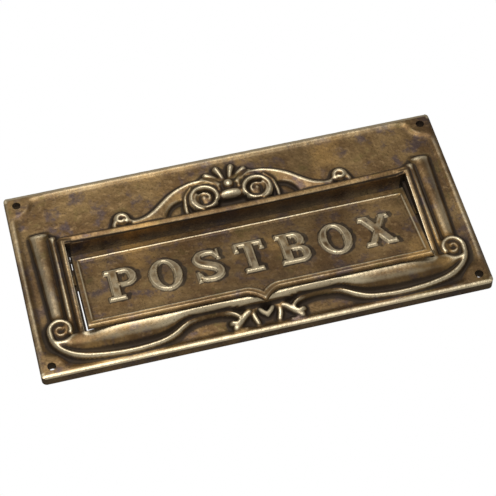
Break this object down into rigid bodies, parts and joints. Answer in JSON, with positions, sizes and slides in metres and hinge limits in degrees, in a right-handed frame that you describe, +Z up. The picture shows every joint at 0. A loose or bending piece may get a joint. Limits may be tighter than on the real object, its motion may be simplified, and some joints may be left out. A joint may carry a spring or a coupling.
{
  "type": "letter plate",
  "caption": "Cast brass letter plate for a door, with relief scrollwork and a sprung lifting flap over the slot.",
  "frame": {"origin": "centre of the flat back face, which lies against the door", "axes": "+X along the plate's length, +Z up the door, -Y out of the door towards the reader"},
  "size_m": [0.262, 0.0195, 0.127],
  "materials": {
    "plate": "antique patina, rubbed bright on the high parts",
    "flap": "antique patina, rubbed bright on the high parts",
    "steel": "plain drawn steel, slightly dulled"
  },
  "bodies": {
    "frame": {"plate": "plate", "hinge_rod": "steel", "spring_left": "steel", "spring_right": "steel", "rod_caps": "steel"},
    "flap": {"flap": "flap"}
  },
  "joints": [
    {"name": "flap_hinge", "type": "hinge", "parent": "frame", "child": "flap", "pos_m": [0, -0.003, 0.012], "axis": [-1, 0, 0], "range_deg": [0, 75], "stiffness_Nm_per_rad": 0.03, "springref_deg": -34.38, "deforming": ["spring_left", "spring_right"]}
  ]
}
